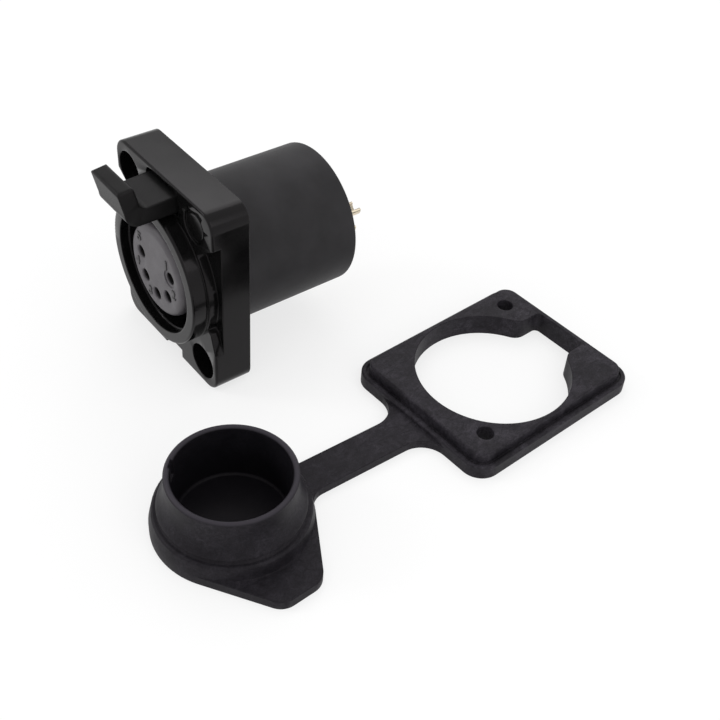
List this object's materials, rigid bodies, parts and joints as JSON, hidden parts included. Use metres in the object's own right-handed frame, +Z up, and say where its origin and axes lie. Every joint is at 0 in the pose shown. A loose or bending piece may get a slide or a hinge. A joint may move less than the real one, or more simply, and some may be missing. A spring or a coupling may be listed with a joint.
{
  "type": "panel-mount xlr receptacle with sealing cover",
  "caption": "Panel-mount XLR female receptacle, rectangular flange, push latch, round rear sleeve and solder cups, with its one-piece rubber sealing cover taken off beside it.",
  "frame": {"origin": "centre of the flange's back face, on the axis of the round sleeve", "axes": "X right seen from the front, Y into the panel along the sleeve, Z up towards the latch"},
  "size_m": [0.0652, 0.0786, 0.0346],
  "materials": {
    "housing_paint": "black paint on die-cast metal, semi-gloss",
    "latch_paint": "satin black paint on die-cast metal",
    "sleeve_plastic": "fine matte black",
    "insulator_plastic": "satin black",
    "contact_gold": "gold plated",
    "tag_brass": "gold plated, thin sheet",
    "ring_metal": "fine turned",
    "pin_steel": "bright",
    "seal_rubber": "matte black",
    "cover_rubber": "matte black with pale rubbed marks"
  },
  "bodies": {
    "socket": {"flange_housing": "housing_paint", "rear_sleeve": "sleeve_plastic", "sleeve_seal_ring": "seal_rubber", "contact_insert": "insulator_plastic", "contact_carrier": "insulator_plastic", "retaining_ring": "ring_metal", "front_seal_ring": "seal_rubber", "ground_tag": "tag_brass", "rear_seal_disc": "seal_rubber", "latch_pin": "pin_steel", "latch_spring": "pin_steel", "sealing_cover": "cover_rubber", "contact_1": "contact_gold", "contact_2": "contact_gold", "contact_3": "contact_gold", "contact_4": "contact_gold", "contact_5": "contact_gold"},
    "latch": {"latch_lever": "latch_paint"}
  },
  "joints": [
    {"name": "latch_hinge", "type": "hinge", "parent": "socket", "child": "latch", "pos_m": [0, -0.0022, 0.0133], "axis": [-1, 0, 0], "range_deg": [0, 9], "stiffness_Nm_per_rad": 0.05, "springref_deg": -20.05, "deforming": ["latch_spring"]}
  ]
}
